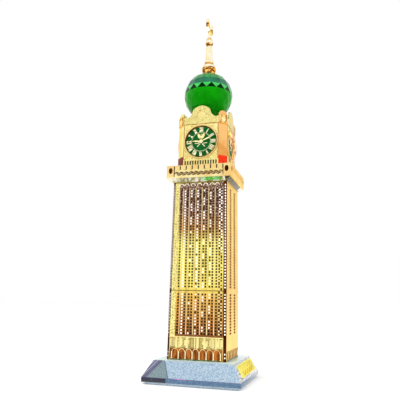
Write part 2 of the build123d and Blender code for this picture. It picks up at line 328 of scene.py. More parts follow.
class Finish:
    def __init__(self, name, **surface):
        self.material = bpy.data.materials.new(name)
        self.material.use_nodes = True
        self.tree = self.material.node_tree
        self.shader = self.tree.nodes["Principled BSDF"]
        for key, value in surface.items():
            self.shader.inputs[key.replace("_", " ")].default_value = value

    def node(self, kind, settings=None, inputs=None, output=0):
        made = self.tree.nodes.new(kind)
        for key, value in (settings or {}).items():
            if key == "stops":
                self.setStops(made.color_ramp, value)
            else:
                setattr(made, key, value)
        for key, value in (inputs or {}).items():
            if isinstance(value, Wire):
                self.tree.links.new(value.socket, made.inputs[key])
            else:
                made.inputs[key].default_value = value
        return Wire(self, made.outputs[output])

    def setStops(self, ramp, stops):
        while len(ramp.elements) < len(stops):
            ramp.elements.new(0.5)
        for element, (position, colour) in zip(ramp.elements, stops):
            element.position = position
            element.color = colour

    def axis(self, letter):
        spot = self.node("ShaderNodeTexCoord", output="Object")
        return self.node("ShaderNodeSeparateXYZ", {}, {0: spot}, letter)

    def height(self, bottom, top):
        return self.node("ShaderNodeMapRange", {"clamp": True},
                         {"Value": self.axis("Z"), "From Min": bottom, "From Max": top})

    def stretched(self, scale=(1, 1, 1)):
        spot = self.node("ShaderNodeTexCoord", output="Object")
        return self.node("ShaderNodeMapping", {}, {"Vector": spot, "Scale": scale})

    def noise(self, size, detail=3.0, stretch=(1, 1, 1), roughness=0.5):
        # size is the spacing of the pattern in metres
        return self.node("ShaderNodeTexNoise", {},
                         {"Vector": self.stretched(stretch), "Scale": 1 / size, "Detail": detail,
                          "Roughness": roughness}, "Fac")

    def cells(self, size, feature="F1"):
        return self.node("ShaderNodeTexVoronoi", {"feature": feature},
                         {"Vector": self.stretched(), "Scale": 1 / size}, "Distance")

    def band(self, value, low, high):
        return self.node("ShaderNodeMapRange", {"clamp": True, "interpolation_type": "SMOOTHSTEP"},
                         {"Value": value, "From Min": low, "From Max": high})

    def between(self, value, low, lowFull, highFull, high):
        return self.band(value, low, lowFull) * (1 - self.band(value, highFull, high))

    def ramp(self, value, *stops):
        return self.node("ShaderNodeValToRGB", {"stops": [(p, tone(c)) for p, c in stops]}, {"Fac": value})

    def blend(self, mask, first, second):
        inputs = {0: mask}
        for key, value in ((6, first), (7, second)):
            inputs[key] = tone(value) if isinstance(value, str) else value
        return self.node("ShaderNodeMix", {"data_type": "RGBA"}, inputs, 2)

    def bump(self, height, strength, distance):
        return self.node("ShaderNodeBump", {}, {"Height": height, "Strength": strength, "Distance": distance})

    def surface(self, shader):
        self.tree.links.new(shader.socket, self.tree.nodes["Material Output"].inputs["Surface"])
        return self.material

    def feed(self, **wires):
        for key, wire in wires.items():
            self.tree.links.new(wire.socket, self.shader.inputs[key.replace("_", " ")])
        return self.material


def etchedGilt():
    # stamped gilt sheet, streaked and speckled by the etch; its colour up its height is painted reflection and
    # shade: a dark olive seam with painted shade at the foot, yellow and brown bands above, darker towards its
    # top
    finish = Finish("etched_gilt_skin", Metallic=1.0)
    level = finish.height(13 * mm, 124.5 * mm)
    # painted reflection and shade, ramped by height
    paintedLightByHeight = finish.ramp(level, (0.0, "3a4418"), (0.008, "c9963c"), (0.07, "eee09a"), (0.12, "e6d88c"),
                       (0.13, "6e3814"), (0.2, "a86a2c"), (0.33, "e0ac4c"), (0.40, "fbe870"),
                       (0.64, "fbee80"), (0.72, "b98444"), (0.84, "6e3f26"), (1.0, "4a2214"))
    streak = finish.band(finish.noise(2.6 * mm, 2.0, (1, 1, 0.09)), 0.42, 0.66)
    grain = finish.band(finish.noise(0.5 * mm, 3.0), 0.5, 0.72)
    colour = finish.blend(streak * 0.42, paintedLightByHeight, "7a4620")
    colour = finish.blend(grain * 0.35, colour, "fff2b0")
    lace = finish.cells(0.55 * mm)
    pale = finish.band(finish.noise(0.8 * mm, 2.0), 0.52, 0.6) * finish.band(level, 0.7, 0.8)
    colour = finish.blend(pale * 0.6, colour, "e8d0cc")
    return finish.feed(Base_Color=colour, Roughness=finish.noise(1.5 * mm) * 0.25 + 0.14,
                       Normal=finish.bump(lace + grain * 0.3, 0.35, 0.12 * mm))


def plainGilt(name="plain_gilt_skin", light="fcdc94", dark="f6cc7e", rough=0.16, edge="fff0c4"):
    finish = Finish(name, Metallic=1.0, Specular_Tint=tone(edge))
    cloud = finish.band(finish.noise(9 * mm, 2.0), 0.35, 0.7)
    brushed = finish.noise(0.35 * mm, 2.0, (1, 1, 0.06))
    colour = finish.blend(cloud, light, dark)
    colour = finish.blend(brushed * 0.12, colour, "fff0b4")
    return finish.feed(Base_Color=colour, Roughness=brushed * 0.12 + rough,
                       Normal=finish.bump(brushed, 0.10, 0.04 * mm))


def laceGilt():
    # pierced and stippled gilt, pale, with fine darker gaps
    finish = Finish("lace_gilt_skin", Metallic=1.0)
    web = finish.cells(1.3 * mm, "DISTANCE_TO_EDGE")
    pits = 1 - finish.band(web, 0.02, 0.16)
    dots = 1 - finish.band(finish.cells(1.25 * mm), 0.16, 0.3)
    colour = finish.blend(pits * 0.55, "fff4a0", "b89844")
    colour = finish.blend(dots * 0.8, colour, "6c5a24")
    return finish.feed(Base_Color=colour, Roughness=finish.noise(1.2 * mm) * 0.2 + 0.2,
                       Normal=finish.bump(web * 2.0 - dots, 0.4, 0.12 * mm))


turned = {
    # the dark reflections sit low on each bulge of the finial, between these heights in mm
    "darks": ((207.4, 212.6), (214.2, 216.8), (229.0, 232.2), (234.8, 236.4), (241.8, 246.6)),
    "fade": 0.8,
}


def turnedGold():
    # turned gold with painted light: a near-white painted highlight, and in the listed zones orange with
    # painted dark reflections
    finish = Finish("turned_gold_skin", Metallic=1.0, Specular_Tint=tone("f4d488"))
    rings = finish.noise(0.9 * mm, 2.0, (0.05, 0.05, 1))
    tint = finish.band(finish.noise(3.5 * mm), 0.35, 0.65)
    mirrored = finish.noise(2.2 * mm, 1.0, (1, 1, 1.5))
    reflectionZoneColour = finish.blend(tint, "ffcb6c", "f0a444")
    reflectionZoneColour = finish.blend(finish.band(mirrored, 0.44, 0.52) * 0.9, reflectionZoneColour, "5c2208")
    level = finish.axis("Z")
    zones = 0
    for bottom, top in turned["darks"]:
        zones = finish.between(level, bottom * mm, (bottom + turned["fade"]) * mm,
                               (top - turned["fade"]) * mm, top * mm) + zones
    # the near-white base colour is a painted highlight
    bright = finish.blend(tint, "fffbe6", "fff0bc")
    return finish.feed(Base_Color=finish.blend(zones, bright, reflectionZoneColour), Roughness=rings * 0.12 + 0.08,
                       Normal=finish.bump(rings, 0.12, 0.05 * mm))


def darkWindow():
    finish = Finish("window_dark_skin", Roughness=0.5, Specular_IOR_Level=0.1)
    shade = finish.noise(1.4 * mm)
    return finish.feed(Base_Color=finish.blend(finish.band(shade, 0.45, 0.7), "0c0603", "33190a"),
                       Normal=finish.bump(shade, 0.2, 0.1 * mm))


def brightWindow():
    # crystal seen through the pierced openings, painted near-white and made to glow a little: painted light
    finish = Finish("window_bright_skin", Roughness=0.2, Specular_IOR_Level=0.6, Emission_Strength=0.35)
    shade = finish.noise(1.8 * mm)
    pale = finish.blend(finish.band(shade, 0.45, 0.7), "fffdf4", "f0e4d0")
    return finish.feed(Base_Color=pale, Emission_Color=pale,
                       Normal=finish.bump(shade, 0.1, 0.1 * mm))


def bronze(name, light, dark, metal=1.0, gloss=0.5):
    finish = Finish(name, Metallic=metal, Specular_Tint=tone(light), Specular_IOR_Level=gloss)
    shade = finish.noise(1.6 * mm, 3.0, (1, 1, 0.2))
    return finish.feed(Base_Color=finish.blend(finish.band(shade, 0.38, 0.64), light, dark),
                       Roughness=shade * 0.3 + 0.15, Normal=finish.bump(shade, 0.15, 0.08 * mm))


def enamel(name, light, dark, rough=0.25, gloss=0.3):
    finish = Finish(name, Specular_IOR_Level=gloss)
    shade = finish.noise(1.1 * mm, 3.0)
    return finish.feed(Base_Color=finish.blend(finish.band(shade, 0.35, 0.7), light, dark),
                       Roughness=shade * 0.15 + rough, Normal=finish.bump(shade, 0.08, 0.05 * mm))


def crystal(name, colour, glint="ffffff", clear=1.0, gloss=0.5):
    finish = Finish(name, Transmission_Weight=clear, IOR=1.5, Specular_IOR_Level=gloss,
                    Specular_Tint=tone(glint))
    haze = finish.noise(6 * mm, 2.0)
    return finish.feed(Base_Color=finish.blend(finish.band(haze, 0.3, 0.75), *colour),
                       Roughness=finish.band(haze, 0.5, 0.9) * 0.03,
                       Normal=finish.bump(finish.noise(14 * mm, 1.0), 0.02, 0.3 * mm))


def speckledFelt(finish, dark, light):
    # a painted image of the felt's speckle, as it shows through the polished crystal
    fluff = finish.noise(0.62 * mm, 3.0, roughness=0.7)
    return finish.blend(finish.band(fluff, 0.42, 0.6), dark, light)


def bevelCrystal():
    # the front bevel has painted reflections: the felt seen through it, a darker painted reflection of the
    # shaft's corner edged by a dark painted line, at its left end smoky grey-purple painted streaks mirroring
    # the next bevel, a dark purple painted line along its foot and a painted pink glint on that line
    finish = Finish("front_bevel_crystal_skin", Transmission_Weight=0.3, IOR=1.5, Roughness=0.04)
    across, level = finish.axis("X"), finish.axis("Z")
    fall = (baseBlock["top"] - level) * (1 / (baseBlock["top"] - baseBlock["band"]))
    mirror = across - fall * baseBlock["mirrorRun"] + baseBlock["mirrorHead"]
    mirroredBevel = across + fall * baseBlock["mirroredBevelRun"] + baseBlock["mirrorHead"]
    streaks = finish.ramp(finish.band(mirroredBevel, -7.6 * mm, 0), (0.0, "4a4864"), (0.12, "a8acc2"),
                          (0.2, "4c4a66"), (0.36, "6e6c8a"), (0.46, "b4b8cc"), (0.54, "4e4b68"),
                          (0.74, "6a6d8c"), (0.86, "464460"), (1.0, "7c8494"))
    felted = speckledFelt(finish, "86a4be", "c6d8e6")
    colour = finish.blend(finish.band(mirroredBevel, -0.1 * mm, 0.1 * mm), streaks,
                          speckledFelt(finish, "6c848c", "8aa0a2"))
    colour = finish.blend(finish.band(mirror, -0.1 * mm, 0.1 * mm), colour, felted)
    line = finish.between(mirror, -0.35 * mm, -0.15 * mm, 0.15 * mm, 0.35 * mm)
    colour = finish.blend(line * 0.8, colour, "2c4250")
    # painted reflection: a dark purple line along the bevel's foot
    lowest = 1 - finish.band(level, baseBlock["band"] + 0.15 * mm, baseBlock["band"] + 0.45 * mm)
    colour = finish.blend(lowest * 0.8, colour, "4c3c6c")
    # a painted pink glint on that line
    glint = finish.between(across, -9.6 * mm, -8.4 * mm, -3 * mm, -1.6 * mm)
    colour = finish.blend(lowest * glint * 0.9, colour, "e070c8")
    return finish.feed(Base_Color=colour)


def bandCrystal(name, left, right):
    # the upright band round the foot: deep blue, the felt seen through it; navy with painted white sparkles at
    # the end that mirrors the dark side, a painted reflection
    finish = Finish(name, Transmission_Weight=0.3, IOR=1.5, Roughness=0.05)
    across = finish.axis("X")
    spark = finish.band(finish.noise(1.6 * mm, 2.0), 0.66, 0.72)
    deep = finish.blend(spark, left, "e8ecf4")
    blue = speckledFelt(finish, right, "6484a4")
    return finish.feed(Base_Color=finish.blend(finish.band(across, -15 * mm, -14 * mm), deep, blue))


def sideBevel():
    # bevels seen end on: painted reflections, grey and white bands mirrored along them
    finish = Finish("side_bevel_crystal_skin", Transmission_Weight=0.4, IOR=1.5, Roughness=0.04)
    stripe = finish.noise(3.2 * mm, 1.0, (1, 0.1, 1))
    colour = finish.ramp(stripe, (0.36, "f4f6f6"), (0.44, "8e9092"), (0.5, "eef2f2"), (0.58, "a4a6a4"),
                         (0.66, "cfe4e6"))
    return finish.feed(Base_Color=colour)


def clearLens():
    # a domed lens: clear from the front, and along its side a painted reflection of warm light and dark bronze
    finish = Finish("clear_lens_skin", Roughness=0.06, Specular_IOR_Level=0.6)
    mirrored = finish.noise(4.5 * mm, 1.0, (1, 1, 0.8))
    finish.feed(Base_Color=finish.ramp(mirrored, (0.36, "ffd868"), (0.46, "f0963a"), (0.52, "5c200a"),
                                       (0.58, "a8541c"), (0.66, "ffb85c")))
    through = finish.node("ShaderNodeBsdfTransparent", {}, {"Color": (1, 1, 1, 1)})
    pale = finish.node("ShaderNodeBsdfGlossy", {}, {"Color": (0.96, 0.93, 0.86, 1), "Roughness": 0.1})
    edge = finish.node("ShaderNodeLayerWeight", {}, {"Blend": 0.5}, "Facing")
    glass = finish.node("ShaderNodeMixShader", {}, {
        0: finish.band(edge, 0.42, 0.66) * 0.9, 1: through, 2: Wire(finish, finish.shader.outputs[0])})
    return finish.surface(finish.node("ShaderNodeMixShader", {}, {
        0: finish.band(edge, 0.84, 0.95) * 0.85, 1: glass, 2: pale}))


def feltSkin():
    finish = Finish("felt_skin", Roughness=0.95, Sheen_Weight=0.4)
    fluff = finish.noise(0.45 * mm, 4.0, roughness=0.7)
    patch = finish.noise(5 * mm, 2.0)
    colour = finish.blend(finish.band(fluff, 0.42, 0.6), "a3c4e4", "f2f9fd")
    colour = finish.blend(finish.band(patch, 0.4, 0.7) * 0.2, colour, "c0dcf2")
    return finish.feed(Base_Color=colour, Normal=finish.bump(fluff, 0.6, 0.3 * mm))


def plasticSkin():
    finish = Finish("movement_plastic_skin", Roughness=0.5)
    grain = finish.noise(0.4 * mm, 3.0)
    return finish.feed(Base_Color=finish.blend(grain, "17181a", "2b2c2f"),
                       Normal=finish.bump(grain, 0.3, 0.1 * mm))


def steelSkin(name):
    finish = Finish(name, Metallic=1.0)
    grain = finish.noise(0.6 * mm, 2.0, (1, 1, 0.1))
    return finish.feed(Base_Color=finish.blend(grain, "b9bcc0", "dcdfe2"), Roughness=grain * 0.2 + 0.2,
                       Normal=finish.bump(grain, 0.1, 0.05 * mm))


baseBlock = {
    "edge": 0.22 * mm,
    "bond": 0.06 * mm,
    "top": 13.3 * mm,
    "band": 3.7 * mm,
    # where the painted reflection of the shaft's corner starts at the bevel's head, and how far it runs by its
    # foot
    "mirrorHead": 17.4 * mm,
    "mirrorRun": 4.3 * mm,
    "mirroredBevelRun": 8.8 * mm,
}

giltEtched = etchedGilt()
giltPlain = plainGilt()
giltLace = laceGilt()
giltRib = plainGilt("gilt_rib_skin", "fff0b0", "f2c878", 0.12)
giltWarm = plainGilt("gilt_warm_skin", "ffc478", "e89a48", 0.12)
# a paler copy of the gilt, a painted highlight for the left pilasters
giltLeftHighlight = plainGilt("gilt_pale_skin", "fff0a4", "f8dc84", 0.14, "fff0b0")
goldTurned = turnedGold()
windowDark = darkWindow()
windowBright = brightWindow()
windowOlive = bronze("window_brown_skin", "a8702c", "7a4a14")
traceryOlive = bronze("tracery_olive_skin", "9a8a3c", "7a6a28")
giltCarved = bronze("carved_gilt_skin", "ffd888", "b87434")
arcadeBronze = bronze("arcade_bronze_skin", "b06a2c", "6a3412")
bronzeDark = bronze("strip_bronze_skin", "54280e", "260e04", 0.0, 0.05)
lineBronze = bronze("line_bronze_skin", "b87c3c", "8a5424")
# dark green strip at the panel's foot: a seam with painted shade
seamShadeGreen = enamel("seam_shade_line_skin", "1c3a20", "7c8450", 0.3, 0.2)
bevelFront = bevelCrystal()
bandFront = bandCrystal("front_band_crystal_skin", "1c1c34", "426488")
bandSide = bandCrystal("side_band_crystal_skin", "426488", "426488")
bevelSide = sideBevel()
redEnamel = enamel("red_enamel_skin", "e6340a", "c42406", 0.3, 0.1)
# a darker copy of the red enamel: painted shade for the left pedestals
redEnamelShaded = enamel("red_enamel_shaded_skin", "7c3420", "4e2416", 0.3, 0.1)
dialGreen = enamel("dial_green_skin", "0a4c1c", "0c5a24", 0.4, 0.05)
dialCream = enamel("dial_cream_skin", "fbf3cf", "ead9a0", 0.3)
emblemTan = enamel("emblem_tan_skin", "f0e0a4", "cfae68", 0.3)
handGold = enamel("hand_cream_skin", "f6e8b4", "e2c67c", 0.25)
clearCrystal = crystal("clear_crystal_skin", ("f7fcfd", "e6f4f2"))
topCrystal = crystal("top_crystal_skin", ("e8fffa", "d2f6ee"), clear=0.35)
greenCrystal = crystal("green_crystal_skin", ("10a008", "0c8e06"), "0a7a08", 0.4, 0.25)
# lit and shaded copies of the green crystal for single facets: painted reflection and shade
greenEdge = crystal("green_edge_facet_skin", ("2a9c44", "1c7c34"), "30a048", 0.4, 0.3)
greenBright = crystal("green_bright_facet_skin", ("4cc860", "34a84c"), "60e060", 0.3)
greenShadedCrown = crystal("green_shaded_crown_skin", ("246c50", "185840"), "2c6c50", 0.2)
greenDeep = crystal("green_deep_facet_skin", ("042408", "021804"), "043008", 0.2)
lensClear = clearLens()
felt = feltSkin()
plastic = plasticSkin()
cellSteel = steelSkin("cell_steel_skin")
rodSteel = steelSkin("rod_steel_skin")
platePale = plainGilt("plate_gilt_skin", "fff494", "fae678", 0.2, "fff8a8")
plateLine = bronze("plate_line_skin", "e0c860", "c8a848")
print("finishes made")


def makeBase():
    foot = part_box("base_block")[0].z
    piece = refined("base_block", "crystal_base", baseBlock["edge"], 2)
    for vertex in piece.data.vertices:
        # the glued underside reaches just into the felt, so the felt shows through the crystal
        if vertex.co.z < foot + 0.01 * mm:
            vertex.co.z -= baseBlock["bond"]
    useFinishes(piece, topCrystal, bevelFront, bandFront, bevelSide, bandSide, clearCrystal)
    openEdit(piece)
    for finish, test in (
            (bevelSide, lambda c, n: 0.3 < n.z < 0.85),
            (bevelFront, lambda c, n: 0.3 < n.z < 0.85 and n.y < -0.5),
            (bandSide, lambda c, n: abs(n.z) < 0.3),
            (bandFront, lambda c, n: abs(n.z) < 0.3 and n.y < -0.5),
            (clearCrystal, lambda c, n: n.z < -0.5)):
        pick(test)
        paint(finish)
    closeEdit()
    place(piece, "tower", "clear_crystal", "base_block")
    dress(felt, "base_pad")


makeBase()

plate = {
    "scrolls": 9,
    "pitch": 3.6 * mm,
    "rowOffset": 1.7 * mm,
    "scrollRadius": 1.25 * mm,
    "wire": 0.14 * mm,
    "proud": 0.16 * mm,
}


def waveBand(name, count, pitch, radius, wire, height, out, finish):
    # half rings, up and down in turn, with a lozenge inside each
    parts = []
    for index, across in enumerate(evenly(count, pitch)):
        upper = index % 2 == 0
        ring = ringAt(f"{name}_ring{index}", (across, -out, height), radius, wire, 16)
        parts.append(halved(ring, height, upper))
        letGo()
        bpy.ops.mesh.primitive_cone_add(
            vertices=4, radius1=radius * 0.5, radius2=radius * 0.2, depth=wire * 1.6,
            location=(across, -out, height + (0.25 if upper else -0.25) * radius), rotation=(pi / 2, 0, 0))
        parts.append(added(f"{name}_lozenge{index}"))
    return useFinishes(weld(parts, name), finish)


def makePlate():
    low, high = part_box("ornament_plate")
    body = useFinishes(refined("ornament_plate", "plate_body", 0.06 * mm, 2, 40), platePale)
    # the ornament is laid out flat on the front, then leant and turned onto the right bevel
    rows = [waveBand(f"plate_scroll{row}", plate["scrolls"], plate["pitch"], plate["scrollRadius"],
                     plate["wire"], side * plate["rowOffset"], 0.0, plateLine)
            for row, side in enumerate((1, -1))]
    run, rise = high.x - low.x, high.z - low.z
    outer = (low + high) / 2 + Vector((rise, 0, run)).normalized() * plate["proud"]
    ornament = moved(weld(rows, "plate_ornament"), swing(-atan2(run, rise), "X"), swing(pi / 2, "Z"),
                     Matrix.Translation(outer))
    piece = weld([body, ornament], "ornament_plate_detail")
    place(piece, "tower", "gold_plate", "ornament_plate")


makePlate()
print("base made")


panelLow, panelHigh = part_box("shaft_panel_front")
shaft = {
    "foot": panelLow.z,
    "top": panelHigh.z,
    "halfFoot": panelHigh.x,
    "out": -panelLow.y,
    "thickness": 0.8 * mm,
    "taper": 0.8 / 17.15,
    "rail": 0.7 * mm,
    "podiumFoot": 20.2 * mm,
    "podiumTop": 27.0 * mm,
    "divide": 54.7 * mm,
    "archFoot": 120.4 * mm,
    "windowPitch": 1.8 * mm,
    "windowHeight": 1.15 * mm,
    "arches": 7,
    "archPitch": 4.4 * mm,
    "setBack": 0.35 * mm,
}
shaft["lean"] = (panelHigh.y - panelLow.y) - shaft["thickness"]

etched = {
    "bays": 5,
    "bayPitch": 4.45 * mm,
    "windowGap": 1.85 * mm,
    "windowWidth": 1.15 * mm,
    "ribWidth": 0.34 * mm,
    "ribHeight": 0.16 * mm,
    "endColumn": 12.4 * mm,
    "pilasterFoot": 13.6 * mm,
    "pilasterCell": 1.36 * mm,
    "holeWidth": 1.04 * mm,
    "margin": 0.5 * mm,
    "moulding": 0.35 * mm,
    "groove": 0.3 * mm,
    "cornice": 0.8 * mm,
    "leafPitch": 2.3 * mm,
    "leafRow": 0.8 * mm,
    "leafHeight": 0.56 * mm,
    "dividers": (-1.5 * mm, 2.6 * mm),
    "rim": 0.09 * mm,
    "depth": 0.42 * mm,
    # how many of each four rows are bright in the left column of each bay
    "brightRows": (4, 1, 3, 2, 2),
    "laceFoot": 94 * mm,
    "whiteFoot": 78 * mm,
}

plain = {
    "column": 6.2 * mm,
    "windowWidth": 5.4 * mm,
    "margin": 0.8 * mm,
    "arcadeDrop": 1.2 * mm,
}


def leanBack(piece):
    reach = shaft["top"] - shaft["foot"]
    for vertex in piece.data.vertices:
        share = (vertex.co.z - shaft["foot"]) / reach
        vertex.co.x *= 1 - share * shaft["taper"]
        vertex.co.y += share * shaft["lean"]
    return piece


def rowLevels(bottom, top):
    count = int((top - bottom) / shaft["windowPitch"])
    start = (bottom + top) / 2 - count * shaft["windowPitch"] / 2
    return [start + (index + 0.5) * shaft["windowPitch"] for index in range(count)]


def rowsUpTo(top):
    return (rowLevels(shaft["podiumTop"] + 0.5 * mm, shaft["divide"] - 0.8 * mm)
            + rowLevels(shaft["divide"] + 0.8 * mm, top))


windowRows = rowsUpTo(shaft["archFoot"] - 0.4 * mm)


def archRing(name, across, springing, radius, out):
    return halved(ringAt(name, (across, -out, springing), radius, 0.24 * mm, 24), springing)


def pillar(name, across, bottom, top, radius, out):
    # a small round pillar: its foot and head flare by extrusion and scaling
    letGo()
    bpy.ops.mesh.primitive_cylinder_add(
        vertices=8, radius=radius, depth=(top - bottom) * 0.8, location=(across, -out, (bottom + top) / 2))
    piece = added(name)
    openEdit(piece)
    for way in (1, -1):
        pick(lambda centre, normal: normal.z * way > 0.9)
        bpy.ops.mesh.extrude_region_move(
            TRANSFORM_OT_translate={"value": (0, 0, way * (top - bottom) * 0.04)})
        bpy.ops.transform.resize(value=(1.5, 1.5, 1), center_override=(across, -out, 0))
        bpy.ops.mesh.extrude_region_move(
            TRANSFORM_OT_translate={"value": (0, 0, way * (top - bottom) * 0.06)})
    closeEdit()
    return piece


def makeArcade(stem, top, out, ringFinish, pillarFinish):
    count, pitch = shaft["arches"], shaft["archPitch"]
    radius = pitch / 2 - 0.35 * mm
    springing = top - radius - 0.3 * mm
    rings = [archRing(f"{stem}_arch{i}", across, springing, radius, out)
             for i, across in enumerate(evenly(count, pitch))]
    posts = [pillar(f"{stem}_pillar{i}", across, shaft["foot"] + shaft["rail"], springing, 0.3 * mm, out)
             for i, across in enumerate(evenly(count + 1, pitch))]
    return [useFinishes(weld(rings, f"{stem}_arches"), ringFinish),
            useFinishes(weld(posts, f"{stem}_pillars"), pillarFinish)]


def seamShadeLine():
    # the green-black seam where the panel stands on the base: the seam's dark line with painted shade where the
    # panel meets the base
    return flatBar("seam_shade_line", 0, 2 * shaft["halfFoot"] - 3 * mm, shaft["foot"], shaft["foot"] + 0.65 * mm,
                   shaft["out"] + 0.12 * mm, seamShadeGreen)


def makeEtchedPanel():
    half, divide = shaft["halfFoot"], shaft["divide"]
    podiumFoot, podiumTop = shaft["podiumFoot"], shaft["podiumTop"]
    relief, groove = etched["ribHeight"], etched["groove"]
    rim, depth = etched["rim"], etched["depth"]
    face = shaft["out"] - relief
    rail = shaft["foot"] + shaft["rail"]
    moulding = podiumTop - etched["moulding"]
    cornice = shaft["top"] - etched["cornice"]
    piece = frontSheet("etched_sheet", 2 * half, shaft["foot"], shaft["top"], face)
    useFinishes(piece, giltEtched, windowDark, windowBright, giltRib, arcadeBronze, traceryOlive, giltLace)
    centres = evenly(etched["bays"], etched["bayPitch"])
    leftWindows = [c - etched["windowGap"] / 2 for c in centres]
    rightWindows = [c + etched["windowGap"] / 2 for c in centres]
    single = [-etched["endColumn"], etched["endColumn"]]
    ribs = evenly(etched["bays"] + 1, etched["bayPitch"])
    pilaster = [side * (etched["pilasterFoot"] + (k + 0.5) * etched["pilasterCell"])
                for side in (-1, 1) for k in range(2)]
    podiumRows = [podiumFoot + (k + 0.5) * etched["leafRow"] for k in range(8)]
    lowestRow, highestRow = windowRows[0] - 1 * mm, windowRows[-1] + 1 * mm
    levels = [rail, podiumFoot, moulding, podiumTop, divide - groove, divide + groove,
              shaft["archFoot"], cornice]
    levels += bothEdges(podiumRows, etched["leafHeight"]) + bothEdges(windowRows, shaft["windowHeight"])
    columns = bothEdges(leftWindows + rightWindows + single, etched["windowWidth"])
    columns += bothEdges(ribs, etched["ribWidth"]) + bothEdges(pilaster, etched["holeWidth"])
    columns += [side * edge for side in (-1, 1)
                for edge in (etched["pilasterFoot"] - 0.2 * mm, half - etched["margin"])]

    def onWindow(c, places):
        return near(c.z, windowRows, 0.2 * mm) and near(c.x, places, 0.2 * mm)

    def bright(c):
        bay = min(range(etched["bays"]), key=lambda i: abs(c.x - leftWindows[i]))
        row = round(c.z / shaft["windowPitch"])
        extra = 1 if c.z > etched["laceFoot"] and bay % 2 else 0
        return (row * 3 + bay + row // 5) % 4 < etched["brightRows"][bay] + extra

    def chequer(c):
        column = round((abs(c.x) - etched["pilasterFoot"]) / etched["pilasterCell"] - 0.5)
        row = int((c.z - lowestRow) / shaft["windowPitch"] + 0.5)
        return (column + int(near(c.z, windowRows, 0.2 * mm)) + row * 7 // 3) % 2

    def onPilaster(c, side, parity):
        return (near(c.x, pilaster, 0.1 * mm) and c.x * side > 0 and lowestRow < c.z < highestRow
                and chequer(c) == parity)

    def betweenLeaves(c):
        across = (c.x / etched["leafPitch"]) % 1 - 0.5
        rise = (2 * c.z - podiumFoot - podiumTop) / (podiumTop - podiumFoot)
        return abs(across) > 0.46 * sqrt(max(0.0, 1 - rise * rise)) or abs(across) < 0.06

    openEdit(piece)
    cut(2, sorted(levels))
    cut(0, sorted(columns))
    sink(lambda c, n: onWindow(c, rightWindows + single), rim, depth, windowDark)
    sink(lambda c, n: onWindow(c, leftWindows) and bright(c), rim, depth, windowBright)
    sink(lambda c, n: onWindow(c, leftWindows) and n.y < -0.99 and abs(c.y + face) < 0.01 * mm,
         rim, depth, windowDark)
    # pierced lace on the pilasters, chequered so that the holes alternate
    pick(lambda c, n: -half < c.x < -etched["pilasterFoot"] and podiumTop < c.z and facesFront(n))
    paint(giltLace)
    sink(lambda c, n: onPilaster(c, -1, 0), 0.25 * mm, 0.12 * mm, traceryOlive)
    sink(lambda c, n: onPilaster(c, 1, 0), 0.04 * mm, 0.25 * mm, windowDark)
    for way, finish in ((1, windowBright), (-1, giltRib)):
        sink(lambda c, n: onPilaster(c, 1, 1) and n.y < -0.99 and c.z * way > etched["whiteFoot"] * way,
             0.12 * mm, 0.12 * mm, finish)
    # leaf tracery on the podium
    sink(lambda c, n: near(c.z, podiumRows, 0.1 * mm) and facesFront(n) and betweenLeaves(c),
         0.05 * mm, 0.15 * mm, traceryOlive)
    # the arcade's band and the groove between the storeys lie a step back
    lift(lambda c, n: rail < c.z < podiumFoot and abs(c.x) < half - etched["margin"],
         -shaft["setBack"], arcadeBronze)
    lift(lambda c, n: abs(c.z - divide) < 0.2 * mm and facesFront(n), -0.2 * mm, traceryOlive)
    # bright ribs between the bays, and a moulding under them
    lift(lambda c, n: near(c.x, ribs, 0.1 * mm) and facesFront(n)
         and (lowestRow < c.z < divide - groove or divide + groove < c.z < shaft["archFoot"]), relief, giltRib)
    lift(lambda c, n: moulding < c.z < podiumTop and facesFront(n), relief, giltRib)
    lift(lambda c, n: c.z < rail and facesFront(n), relief)
    lift(lambda c, n: c.z > cornice and facesFront(n), relief, traceryOlive)
    closeBack(shaft["thickness"] - relief)
    closeEdit()
    extras = makeArcade("shaft", podiumFoot, face - 0.1 * mm, giltRib, dialCream)
    heads = [archRing(f"head_arch{i}", across, shaft["archFoot"] + 1.2 * mm, 1.5 * mm, face)
             for i, across in enumerate(centres + single)]
    extras.append(useFinishes(weld(heads, "head_arches"), dialCream))
    extras += [flatBar(f"podium_divider{i}", across, 0.4 * mm, podiumFoot, podiumTop - 0.4 * mm,
                       face + 0.05 * mm, traceryOlive) for i, across in enumerate(etched["dividers"])]
    return leanBack(weld([piece] + extras + [seamShadeLine()], "etched_panel"))


def makePlainPanel():
    half, rail = shaft["halfFoot"], shaft["foot"] + shaft["rail"]
    arcadeTop = shaft["podiumFoot"] - plain["arcadeDrop"]
    piece = frontSheet("plain_sheet", 2 * half, shaft["foot"], shaft["top"], shaft["out"])
    useFinishes(piece, giltPlain, windowOlive)
    sideColumns = [-plain["column"], plain["column"]]
    rows = rowsUpTo(shaft["top"] - 2.2 * mm)
    openEdit(piece)
    cut(2, sorted(bothEdges(rows, shaft["windowHeight"]) + [rail, arcadeTop]))
    cut(0, sorted(bothEdges(sideColumns, plain["windowWidth"]) + bothEdges([0], 2 * (half - plain["margin"]))))
    sink(lambda c, n: near(c.z, rows, 0.2 * mm) and near(c.x, sideColumns, 0.2 * mm),
         0.04 * mm, 0.07 * mm, windowOlive)
    lift(lambda c, n: rail < c.z < arcadeTop and abs(c.x) < half - plain["margin"],
         -shaft["setBack"], windowOlive)
    closeBack(shaft["thickness"])
    closeEdit()
    extras = makeArcade("side", arcadeTop, shaft["out"] - 0.25 * mm, giltPlain, giltPlain)
    return leanBack(weld([piece] + extras + [seamShadeLine()], "plain_panel"))


setAround(makeEtchedPanel(), "shaft_panel", frontAndBack, "etched_gilt")
setAround(makePlainPanel(), "shaft_panel", rightAndLeft, "gilt")
print("panels made")

strip = {
    "chamfer": 1.6 * mm,
    "thickness": 0.55 * mm,
    "holeWidth": 0.95 * mm,
    "holeHeight": 1.02 * mm,
    "corner": 0.26 * mm,
    "depth": 0.08 * mm,
    # two more holes beside the arcade, this far above the foot
    "lowHoles": (2.2 * mm, 4.3 * mm),
}


